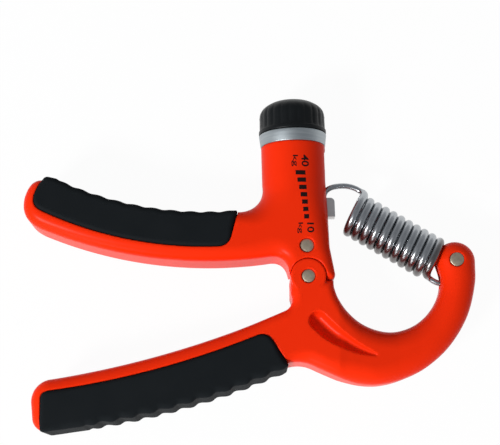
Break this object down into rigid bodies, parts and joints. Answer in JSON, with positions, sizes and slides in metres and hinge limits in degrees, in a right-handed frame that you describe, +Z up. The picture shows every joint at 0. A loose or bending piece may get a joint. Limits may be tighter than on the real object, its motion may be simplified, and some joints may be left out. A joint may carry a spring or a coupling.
{
  "type": "hand grip strengthener",
  "caption": "Adjustable hand grip strengthener: ribbed grips on two hinged handles, a dial knob on a barrel and a coil spring to a hook arm.",
  "frame": {"origin": "on the resting plane, at the middle of the outline's box", "axes": "+X from the handles' tips towards the hook arm, +Y from the lower handle towards the knob, +Z up off the table that it lies on"},
  "size_m": [0.1531, 0.1141, 0.024],
  "materials": {
    "orange_plastic": "glossy",
    "grip_rubber": "matte",
    "knob_plastic": "satin",
    "ring_metal": "satin",
    "pin_steel": "satin",
    "slider_metal": "satin",
    "bearing_brass": "satin",
    "spring_steel": "polished"
  },
  "bodies": {
    "lower": {"lower_handle": "orange_plastic", "lower_grip": "grip_rubber", "pivot_pin": "pin_steel", "arm_pin": "pin_steel"},
    "upper": {"upper_handle": "orange_plastic", "upper_grip": "grip_rubber", "bearing_pin": "pin_steel", "end_bearing": "bearing_brass", "collar_ring": "ring_metal", "thrust_washer": "pin_steel"},
    "slider": {"slider": "slider_metal"},
    "knob": {"knob": "knob_plastic", "adjusting_screw": "pin_steel"},
    "spring_loop": {"spring_loop": "spring_steel"},
    "spring_coil": {"spring_coil": "spring_steel"},
    "spring_hook": {"spring_hook": "spring_steel"}
  },
  "joints": [
    {"name": "squeeze", "type": "hinge", "parent": "lower", "child": "upper", "pos_m": [0.0202, -0.0055, 0.012], "axis": [0, 0, 1], "range_deg": [0, 30], "stiffness_Nm_per_rad": 4, "springref_deg": -11.46},
    {"name": "slider_travel", "type": "slide", "parent": "upper", "child": "slider", "axis": [-0.0262, 0.9997, 0], "range_m": [-0.003, 0.0125]},
    {"name": "knob_turn", "type": "hinge", "parent": "upper", "child": "knob", "pos_m": [0.0168, -0.0055, 0.012], "axis": [0.0262, -0.9997, 0], "range_deg": [-865, 3601]},
    {"name": "swing_squeeze", "type": "hinge", "parent": "lower", "child": "spring_loop", "pos_m": [0.0701, 0.0007, 0.012], "axis": [0, 0, 1], "range_deg": [-0.02, 5]},
    {"name": "stretch_squeeze", "type": "slide", "parent": "spring_loop", "child": "spring_coil", "axis": [-0.9201, 0.3917, 0], "range_m": [-0.00002, 0.01253], "deforming": ["spring_loop", "spring_coil"]},
    {"name": "hook_travel", "type": "slide", "parent": "spring_coil", "child": "spring_hook", "axis": [-0.0262, 0.9997, 0], "range_m": [-0.00302, 0.01252], "deforming": ["spring_hook"]}
  ],
  "couplings": [
    {"joint": "knob_turn", "follows": "slider_travel", "rad_per_m": 5026.5},
    {"joint": "hook_travel", "follows": "slider_travel", "ratio": 1},
    {"joint": "swing_squeeze", "follows": "squeeze", "ratio": 0.166},
    {"joint": "stretch_squeeze", "follows": "squeeze", "m_per_rad": 0.0239}
  ]
}
